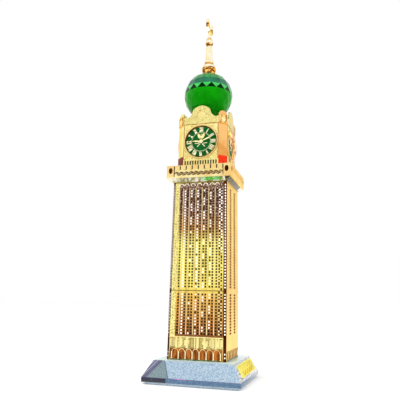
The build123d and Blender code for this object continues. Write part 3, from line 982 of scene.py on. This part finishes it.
def makeStrip():
    # made facing the front, then turned onto the corner and leant with the shaft
    width = strip["chamfer"] * sqrt(2)
    out = (2 * shaft["out"] - strip["chamfer"]) / sqrt(2)
    piece = frontSheet("strip_sheet", width - 0.04 * mm, shaft["foot"], shaft["top"], out)
    useFinishes(piece, bronzeDark, windowBright)
    rows = rowsUpTo(shaft["top"] - 1.5 * mm) + [shaft["foot"] + above for above in strip["lowHoles"]]

    def onHole(c, n):
        return near(c.z, rows, 0.2 * mm) and abs(c.x) < 0.2 * mm

    openEdit(piece)
    cut(2, sorted(bothEdges(rows, strip["holeHeight"])))
    cut(0, bothEdges([0], strip["holeWidth"]))
    pick(onHole)
    bpy.ops.mesh.bevel(offset=strip["corner"], segments=1, affect="VERTICES")
    sink(onHole, 0.05 * mm, strip["depth"], windowBright)
    closeBack(strip["thickness"])
    closeEdit()
    run = shaft["lean"] * sqrt(2)
    for vertex in piece.data.vertices:
        vertex.co.y += (vertex.co.z - shaft["foot"]) / (shaft["top"] - shaft["foot"]) * run
    return moved(piece, swing(radians(45), "Z"))


setAround(makeStrip(), "corner_strip", cornerTurns, "etched_gilt")
dress(clearCrystal, "shaft_core")
print("strips made")


fasciaLow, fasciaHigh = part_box("gallery_fascia_front")
gallery = {
    "half": fasciaHigh.x,
    "bottom": fasciaLow.z,
    "top": fasciaHigh.z,
    "thickness": 0.7 * mm,
    "endBlock": 5.2 * mm,
    "merlons": 8,
    "merlonGap": 0.75 * mm,
    "bandTop": 131.3 * mm,
    "ledge": 0.5 * mm,
    "cap": 0.35 * mm,
    "rim": 0.9 * mm,
    "relief": 0.3 * mm,
    # the oval bosses on the end blocks
    "bossIn": 2.75 * mm,
    "bossHeight": 131.4 * mm,
    "bossSize": (1.3 * mm, 0.22 * mm, 2.1 * mm),
    "bossRing": (1.4 * mm, 0.16 * mm),
    # the scroll band: two rows of half rings, each with a count, a radius and a wire
    "scrollPitch": 1.65 * mm,
    "scrolls": ((19, 1.08 * mm, 0.27 * mm, 0.02 * mm), (18, 0.92 * mm, 0.2 * mm, 0)),
}


def makeFascia(ornate):
    half, relief, gap = gallery["half"], gallery["relief"], gallery["merlonGap"]
    inner, face = half - gallery["endBlock"], half - relief
    rim = gallery["bottom"] + gallery["rim"]
    upper = gallery["bandTop"] + gallery["ledge"]
    cap = gallery["top"] - gallery["cap"]
    piece = frontSheet("fascia_sheet", 2 * half, gallery["bottom"], gallery["top"], face)
    useFinishes(piece, giltLace if ornate else giltPlain, windowDark, giltPlain, giltRib)
    gaps = [-inner + k * 2 * inner / gallery["merlons"] for k in range(gallery["merlons"] + 1)]
    openEdit(piece)
    cut(2, [rim, gallery["bandTop"], upper, cap])
    cut(0, sorted(bothEdges(gaps, gap) + bothEdges([0], 2 * half - 1.2 * mm)))
    lift(lambda c, n: c.z < rim and facesFront(n), relief, giltRib)
    lift(lambda c, n: abs(c.x) > inner + gap / 2 and c.z > rim and facesFront(n), relief * 0.9, giltPlain)
    if ornate:
        pick(lambda c, n: abs(c.x) < inner + gap / 2 and facesFront(n) and rim < c.z < gallery["bandTop"])
        paint(giltRib)
    sink(lambda c, n: facesFront(n) and upper < c.z < cap and near(c.x, gaps, 0.1 * mm),
         0.05 * mm, 0.25 * mm, windowDark)
    lift(lambda c, n: facesFront(n) and c.z > upper and abs(c.x) < inner and not near(c.x, gaps, 0.1 * mm),
         relief, giltPlain)
    closeBack(gallery["thickness"] - relief)
    closeEdit()
    parts = [piece]
    for side in (-1, 1):
        across = side * (half - gallery["bossIn"])
        letGo()
        bpy.ops.mesh.primitive_uv_sphere_add(
            segments=20, ring_count=10, radius=1, location=(across, -half + 0.06 * mm, gallery["bossHeight"]))
        parts.append(useFinishes(added(f"fascia_boss{side}", gallery["bossSize"]), bronzeDark))
        ring = ringAt(f"fascia_ring{side}", (across, -half + 0.05 * mm, gallery["bossHeight"]),
                      *gallery["bossRing"], 24, (1, 1.58, 1))
        parts.append(useFinishes(ring, giltRib))
        if ornate:
            parts.append(flatBar(f"fascia_stop{side}", side * (inner + 0.1 * mm), 0.4 * mm, rim,
                                 gallery["top"] - 0.4 * mm, half - 0.02 * mm, bronzeDark))
    for row, (count, radius, wire, proud) in enumerate(gallery["scrolls"] if ornate else ()):
        parts.append(waveBand(f"fascia_wave{row}", count, gallery["scrollPitch"], radius, wire,
                              (rim + gallery["bandTop"]) / 2, face + proud, bronzeDark))
    return mitre(weld(parts, "fascia"))


def mitre(piece):
    # the ends are drawn in at 45 degrees where they meet their neighbours
    for vertex in piece.data.vertices:
        limit = -vertex.co.y
        if abs(vertex.co.x) > limit:
            vertex.co.x = limit if vertex.co.x > 0 else -limit
    return piece


setAround(makeFascia(True), "gallery_fascia", frontAndBack, "gilt")
setAround(makeFascia(False), "gallery_fascia", rightAndLeft, "gilt")


def soffitCrystal():
    # polished crystal with painted reflections: the underside carries a painted mirror image of the gilt, a
    # painted shade strip at its right end and a painted green glow from the ball above
    finish = Finish("soffit_crystal_skin", Transmission_Weight=0.2, IOR=1.5, Specular_IOR_Level=0.3)
    across, back = finish.axis("X"), finish.axis("Y")
    cloud = finish.noise(5 * mm, 1.0, (1, 0.15, 1))
    colour = finish.ramp(cloud, (0.36, "fffef6"), (0.46, "d8cfa0"), (0.54, "7c7448"), (0.64, "f4f0e2"))
    # painted shade along the right end
    shade = finish.band(across, 17 * mm, 17.6 * mm) * (1 - finish.band(back, 12 * mm, 14 * mm))
    fine = finish.noise(1.2 * mm, 2.0, (0.2, 1, 1))
    streak = finish.blend(finish.band(fine, 0.4, 0.6), "2a2208", "807034")
    colour = finish.blend(shade, colour, streak)
    patch = finish.band(finish.noise(2.2 * mm, 2.0), 0.4, 0.6)
    glow = finish.between(across, 0 * mm, 3 * mm, 13 * mm, 16 * mm) * (patch * 0.5 + 0.4)
    front = 1 - finish.band(back, -19 * mm, -18 * mm)
    colour = finish.blend(glow * front, colour, "3cc41c")
    return finish.feed(Base_Color=colour, Roughness=cloud * 0.2)


slab = useFinishes(refined("gallery_slab", "gallery_crystal", 0.12 * mm), soffitCrystal())
place(slab, "tower", "clear_crystal", "gallery_slab")
print("gallery made")


screenLow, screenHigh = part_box("face_screen_front")
caseLow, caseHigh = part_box("clock_case_front")
dialHeight = (caseLow.z + caseHigh.z) / 2
head = {
    "face": 16.8 * mm,
    "faceHalf": screenHigh.x,
    "cornice": 164.75 * mm,
    "deck": 134.3 * mm,
    "slotTop": 139.4 * mm,
    "slots": 14,
    "slotPitch": 1.75 * mm,
    "pearl": 0.26 * mm,
    "pearls": 72,
    "pearlRing": 12.35 * mm,
    "corner": (9.9 * mm, 10.6 * mm),
    "pedimentFlower": 171.5 * mm,
    "pedimentRows": 6,
    "pedimentFoot": 167.2 * mm,
    "dotPitch": 1.5 * mm,
}


def onCircle(count, radius, out):
    turns = [2 * pi * k / count for k in range(count)]
    return [Vector((sin(a) * radius, -out, dialHeight + cos(a) * radius)) for a in turns]


def pearls(name, places, radius, finish):
    seed = pebble(f"{name}_seed", 1, radius, (1, 0.6, 1))
    beads = [copyOf(seed, f"{name}_{i}", Matrix.Translation(spot)) for i, spot in enumerate(places)]
    drop(seed)
    return useFinishes(weld(beads, name), finish)


def rosette(name, across, height, out, size, petals, finish):
    # a small flower of flattened petals
    parts = [moved(pebble(f"{name}_petal{k}", 2, 1, (size * 0.24, size * 0.16, size * 0.5)),
                   shift(0, 0, size * 0.55), swing(2 * pi * k / petals, "Y"), shift(across, -out, height))
             for k in range(petals)]
    return useFinishes(weld(parts, name), finish)


def makeScreen():
    out, half = head["face"], head["faceHalf"]
    parts = [useFinishes(refined("face_screen_front", "screen_body", 0.1 * mm, 2, 35), giltLace)]
    ring = [spot for spot in onCircle(head["pearls"], head["pearlRing"], out) if abs(spot.x) < half - 0.25 * mm]
    parts.append(pearls("screen_pearls", ring, head["pearl"], giltRib))
    across, above = head["corner"]
    for index, (sideways, upwards) in enumerate(((-1, 1), (1, 1), (-1, -1), (1, -1))):
        parts.append(rosette(f"screen_rosette{index}", sideways * across, dialHeight + upwards * above,
                             out, 1.55 * mm, 6, giltRib))
    parts.append(rosette("pediment_rosette", 0, head["pedimentFlower"], out, 2.6 * mm, 8, giltRib))
    # pearls fill the pediment round its flower, fewer in each row as it narrows
    dots = [Vector((x * head["dotPitch"], -out, head["pedimentFoot"] + row * head["dotPitch"]))
            for row in range(head["pedimentRows"]) for x in range(-5, 6)
            if abs(x) * 1.5 < 8.5 - row * 1.15 and abs(x) + abs(row - 3) > 2]
    parts.append(pearls("pediment_pearls", dots, 0.2 * mm, giltWarm))
    posts = [pillar(f"baluster{i}", across, head["deck"] + 0.5 * mm, head["slotTop"] - 0.2 * mm, 0.22 * mm,
                    out - 0.05 * mm) for i, across in enumerate(evenly(head["slots"], head["slotPitch"]))]
    parts.append(useFinishes(weld(posts, "balusters"), giltRib))
    parts.append(flatBar("cornice_line", 0, 2 * half - 0.3 * mm, head["cornice"] - 0.75 * mm,
                         head["cornice"] - 0.35 * mm, out + 0.05 * mm, lineBronze))
    parts += [flatBar(f"jamb_line{side}", side * (half - 0.3 * mm), 0.4 * mm, head["slotTop"] + 0.2 * mm,
                      head["cornice"] - 0.8 * mm, out + 0.05 * mm, lineBronze) for side in (-1, 1)]
    backing = frontSheet("slot_back", 2 * half - 0.4 * mm, head["deck"] + 0.6 * mm, head["slotTop"],
                         out - 0.5 * mm)
    openEdit(backing)
    closeBack(0.3 * mm)
    closeEdit()
    return weld(parts + [useFinishes(backing, windowDark)], "screen")


setAround(makeScreen(), "face_screen", faceTurns, "gilt")

pilaster = useFinishes(refined("corner_pilaster_front_right", "pilaster_body", 0.12 * mm), giltWarm)
for side, turn in cornerTurns.items():
    twin = copyOf(pilaster, f"corner_pilaster_detail_{side}", swing(radians(turn), "Z"))
    # the left pilasters take the paler copy as a painted highlight, the right ones stay warm
    useFinishes(twin, giltLeftHighlight if side.endswith("left") else giltWarm)
    place(twin, "tower", "gilt", f"corner_pilaster_{side}")
drop(pilaster)

pedestals = useFinishes(refined("corner_pedestals", "pedestal_blocks", 0.12 * mm), redEnamel, redEnamelShaded)
openEdit(pedestals)
# the left pedestals get the darker copy as painted shade
pick(lambda centre, normal: centre.x < 0)
paint(redEnamelShaded)
closeEdit()
place(pedestals, "tower", "red_enamel", "corner_pedestals")


def makeCapitals():
    # the chamfered corners carry a flower each
    body = useFinishes(refined("corner_capitals", "capital_body", 0.1 * mm), giltCarved)
    low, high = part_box("corner_capitals")
    height, out = (low.z + high.z) / 2, 20.865 * mm
    flowers = [moved(rosette(f"capital_flower_{side}", 0, height, out, 1.9 * mm, 8, giltRib),
                     swing(radians(turn + 45), "Z")) for side, turn in cornerTurns.items()]
    place(weld([body] + flowers, "capital_blocks"), "tower", "gilt", "corner_capitals")


makeCapitals()
dress(clearCrystal, "head_block")
print("head made")


dial = {
    "front": 16.5 * mm,
    "radius": 10.9 * mm,
    "thickness": 0.3 * mm,
    "sunk": 0.08 * mm,
    "numeralIn": 6.9 * mm,
    "numeralOut": 10.1 * mm,
    "stroke": 0.5 * mm,
    "relief": 0.05 * mm,
    "chapterRing": (6.5 * mm, 0.11 * mm),
    "minuteRing": 10.45 * mm,
    "minuteDot": 0.1 * mm,
    "leafSize": (0.95 * mm, 0.06 * mm, 2.0 * mm),
    "leafTilt": radians(24),
    "leafSpot": (1.35 * mm, 3.9 * mm),
    # start, end and width of the sprigs on one side of the leaf spray
    "sprigs": (((1.3 * mm, -1.2 * mm), (4.2 * mm, -1.0 * mm), 0.35 * mm),
               ((0.6 * mm, -1.3 * mm), (2.6 * mm, -3.4 * mm), 0.4 * mm)),
}
numerals = ("XII", "I", "II", "III", "IIII", "V", "VI", "VII", "VIII", "IX", "X", "XI")
# for each letter, the foot and head of its strokes and its width, in mm
letterShapes = {
    "I": (((0, 0),), 0.88),
    "V": (((0.35, -0.05), (0.35, 0.8)), 1.25),
    "X": (((0, 0.85), (0.85, 0)), 1.25),
}


def stroke(name, start, end, width, level, finish):
    # a printed bar from start to end, in the dial's own plane
    along = Vector((end[0] - start[0], 0, end[1] - start[1]))
    letGo()
    bpy.ops.mesh.primitive_cube_add(size=1, location=(0, 0, 0))
    bar = added(name, (width, dial["relief"], along.length))
    softEdges(bar, dial["relief"] * 0.2, 1)
    moved(bar, swing(atan2(along.x, along.z), "Y"),
          shift((start[0] + end[0]) / 2, -level, (start[1] + end[1]) / 2))
    return useFinishes(bar, finish)


def numeralBars(letters):
    # offsets across for the foot (towards the centre) and the head of each stroke
    bars, cursor = [], 0.0
    for letter in letters:
        shapes, width = letterShapes[letter]
        bars += [(cursor + foot, cursor + top) for foot, top in shapes]
        cursor += width
    middle = (max(max(b) for b in bars) + min(min(b) for b in bars)) / 2
    return [((a - middle) * mm, (b - middle) * mm) for a, b in bars]


def makeDial():
    letGo()
    bpy.ops.mesh.primitive_cylinder_add(
        vertices=96, radius=dial["radius"], depth=dial["thickness"],
        location=(0, dial["thickness"] / 2 - dial["front"], dialHeight), rotation=(pi / 2, 0, 0))
    disc = added("dial_plate")
    openEdit(disc)
    pick(lambda c, n: facesFront(n))
    bpy.ops.mesh.inset(thickness=0.25 * mm, depth=0)
    bpy.ops.mesh.inset(thickness=0.1 * mm, depth=-dial["sunk"])
    closeEdit()
    useFinishes(disc, dialGreen)
    level = dial["front"] - dial["sunk"]
    printed = [moved(stroke(f"numeral{hour}", (foot, dial["numeralIn"]), (top, dial["numeralOut"]),
                            dial["stroke"], level, dialCream), swing(2 * pi * hour / 12, "Y"))
               for hour, letters in enumerate(numerals) for foot, top in numeralBars(letters)]
    # a leaf spray at the centre: a stem, two leaves and small sprigs below
    printed.append(stroke("stem", (0, 0.9 * mm), (0, 5.6 * mm), 0.4 * mm, level, emblemTan))
    for side in (-1, 1):
        printed += [stroke(f"sprig{i}", (side * start[0], start[1]), (side * end[0], end[1]), width,
                           level, dialCream) for i, (start, end, width) in enumerate(dial["sprigs"])]
        leaf = moved(pebble("leaf", 2, 1, dial["leafSize"]), swing(side * dial["leafTilt"], "Y"),
                     shift(side * dial["leafSpot"][0], -level, dial["leafSpot"][1]))
        printed.append(useFinishes(leaf, emblemTan))
    for part in printed:
        moved(part, shift(0, 0, dialHeight))
    chapter = ringAt("chapter_ring", (0, -level, dialHeight), *dial["chapterRing"], 72)
    dots = pearls("minute_dots", onCircle(60, dial["minuteRing"], level), dial["minuteDot"], dialCream)
    return weld([disc, useFinishes(chapter, dialCream), dots] + printed, "dial_face")


setAround(makeDial(), "clock_dial", faceTurns, "dial_enamel")
for stem, finish in (("clock_case", giltPlain), ("clock_lens", lensClear), ("clock_movement", plastic),
                     ("hour_hand", handGold), ("minute_hand", handGold)):
    dress(finish, *[f"{stem}_{side}" for side in faceTurns])
dress(cellSteel, "button_cells")
print("clocks made")


ball = {
    "radius": 17.1 * mm,
    "height": 190.6 * mm,
    "round": 16,
    # latitude of each ring of corners, and whether it is turned by half a facet
    "rings": ((69.3, 0), (46.0, 0), (29.5, 0), (13.3, 0), (1.1, 1), (-12.0, 0), (-25.0, 1),
              (-38.0, 0), (-51.0, 1), (-62.0, 0), (-70.2, 1)),
}


def growRing(ringNow, angle, turn=0.0):
    # the open edge goes on to the ring at this latitude
    radius = ball["radius"] * cos(radians(angle))
    level = ball["radius"] * sin(radians(angle))
    bpy.ops.mesh.extrude_edges_move(TRANSFORM_OT_translate={"value": (0, 0, level - ringNow[1])})
    grow = radius / ringNow[0]
    bpy.ops.transform.resize(value=(grow, grow, 1), center_override=(0, 0, 0))
    if turn:
        bpy.ops.transform.rotate(value=turn, orient_axis="Z", center_override=(0, 0, 0))
    return radius, level


def makeBall():
    # cut like a gem: a flat table, two rows of tall facets, a zigzag, then rows of triangles
    angle, half = ball["rings"][0]
    ringNow = (ball["radius"] * cos(radians(angle)), ball["radius"] * sin(radians(angle)))
    letGo()
    bpy.ops.mesh.primitive_circle_add(vertices=ball["round"], radius=ringNow[0], fill_type="NGON",
                                      location=(0, 0, ball["height"] + ringNow[1]))
    piece = added("faceted_ball")
    openEdit(piece)
    bpy.ops.mesh.select_mode(type="EDGE")
    bpy.ops.mesh.select_all(action="SELECT")
    for nextAngle, nextHalf in ball["rings"][1:]:
        ringNow = growRing(ringNow, nextAngle, pi / ball["round"] if nextHalf != half else 0.0)
        half = nextHalf
    bpy.ops.mesh.edge_face_add()
    bpy.ops.mesh.select_mode(type="FACE")
    bpy.ops.mesh.select_all(action="SELECT")
    bpy.ops.mesh.normals_make_consistent(inside=False)
    zigzagTop = ball["height"] + ball["radius"] * sin(radians(ball["rings"][3][0]))
    pick(lambda c, n: c.z < zigzagTop and n.z > -0.97)
    bpy.ops.mesh.quads_convert_to_tris(quad_method="SHORTEST_DIAGONAL", ngon_method="BEAUTY")
    closeEdit()
    paintFacets(piece)
    return softEdges(piece, 0.07 * mm, 1, 4)


def paintFacets(piece):
    # painted reflection and shade: the crown's rows take a lighter green and a darker smoky green copy of the
    # crystal, and the zigzag has painted bright and deep triangles in turn
    greens = (greenCrystal, greenShadedCrown, greenBright, greenDeep, greenEdge)
    useFinishes(piece, *greens)
    levels = [ball["height"] + ball["radius"] * sin(radians(angle)) for angle, _ in ball["rings"]]
    for face in piece.data.polygons:
        corners = [piece.data.vertices[i].co.z for i in face.vertices]
        middle = sum(corners) / len(corners)
        pointsDown = sum(1 for z in corners if z > middle) == 2
        if middle > levels[2]:
            face.material_index = greens.index(greenEdge)
        elif levels[3] < middle < levels[2]:
            face.material_index = greens.index(greenShadedCrown)
        elif levels[4] < middle < levels[3]:
            face.material_index = greens.index(greenBright if pointsDown else greenDeep)


place(makeBall(), "tower", "green_crystal", "crystal_ball")
dress(goldTurned, "ball_seat", "finial_knob", "finial_stem", "finial_bead")
dress(rodSteel, "finial_rod")
moon = useFinishes(refined("crescent", "crescent_moon", 0.25 * mm, 3), goldTurned)
place(moon, "tower", "gilt", "crescent")
print("ball and finial made")


room = {
    "floorSize": 6.0,
    "floor": "ffffff",
    "air": 1.0,
}


def floorSkin():
    finish = Finish("floor_skin", Roughness=0.9)
    return finish.feed(Base_Color=finish.blend(finish.noise(0.5, 2.0), room["floor"], "fcfcfc"))


letGo()
bpy.ops.mesh.primitive_plane_add(size=room["floorSize"], location=(0, 0, -0.0002))
floor = added("floor")
useFinishes(floor, floorSkin())

world = bpy.data.worlds.new("room")
bpy.context.scene.world = world
world.use_nodes = True
world.node_tree.nodes["Background"].inputs["Color"].default_value = (1, 1, 1, 1)
world.node_tree.nodes["Background"].inputs["Strength"].default_value = room["air"]


def softLamp(name, spot, target, size, power):
    lamp = bpy.data.lights.new(name, "AREA")
    lamp.shape = "RECTANGLE"
    lamp.size, lamp.size_y = size
    lamp.energy = power
    stand = bpy.data.objects.new(name, lamp)
    stand.location = spot
    stand.rotation_euler = (Vector(target) - Vector(spot)).to_track_quat("-Z", "Y").to_euler()
    stand.visible_glossy = False
    stand.visible_transmission = False
    bpy.context.scene.collection.objects.link(stand)


def shadeCard(name, spot, size, turn, hexCode):
    # a card out of the camera's sight, only there to be mirrored in crystal and gilt
    letGo()
    bpy.ops.mesh.primitive_plane_add(size=1, location=spot, rotation=(pi / 2, 0, turn))
    card = added(name, (size[0], size[1], 1))
    finish = Finish(f"{name}_skin", Roughness=1.0)
    useFinishes(card, finish.feed(Base_Color=finish.blend(finish.noise(0.05, 1.0), hexCode, "1c1826")))
    card.visible_camera = False
    card.visible_diffuse = False
    card.visible_shadow = False


shadeCard("left_card", (-0.2, 0.05, 0.03), (0.3, 0.08), radians(-75), "6a6088")
middle = (0, 0, 0.12)
softLamp("key", (-0.5, -0.7, 0.75), middle, (0.5, 0.5), 6)
softLamp("side", (0.9, -0.2, 0.4), middle, (0.5, 0.8), 4)

camera = {
    "spot": Vector((84.905, -306.309, 49.962)) * mm,
    "turn": radians(16.298),
    "pitch": radians(11.665),
    "roll": radians(1.198),
    "lens": 42.92,
}


def setCamera():
    turn, pitch, roll = camera["turn"], camera["pitch"], camera["roll"]
    ahead = Vector((-sin(turn) * cos(pitch), cos(turn) * cos(pitch), sin(pitch)))
    across = Vector((cos(turn), sin(turn), 0))
    upright = across.cross(ahead)
    right = across * cos(roll) + upright * sin(roll)
    up = upright * cos(roll) - across * sin(roll)
    eye = bpy.data.cameras.new("eye")
    eye.lens = camera["lens"]
    eye.clip_start, eye.clip_end = 0.01, 20
    holder = bpy.data.objects.new("eye", eye)
    holder.matrix_world = Matrix((
        (right.x, up.x, -ahead.x, camera["spot"].x),
        (right.y, up.y, -ahead.y, camera["spot"].y),
        (right.z, up.z, -ahead.z, camera["spot"].z),
        (0, 0, 0, 1)))
    bpy.context.scene.collection.objects.link(holder)
    bpy.context.scene.camera = holder


setCamera()
bpy.context.scene.view_settings.view_transform = "Standard"
cycles = bpy.context.scene.cycles
cycles.use_denoising = True
cycles.max_bounces = cycles.transmission_bounces = 24
cycles.diffuse_bounces, cycles.glossy_bounces, cycles.transparent_max_bounces = 8, 16, 12
print("room set")
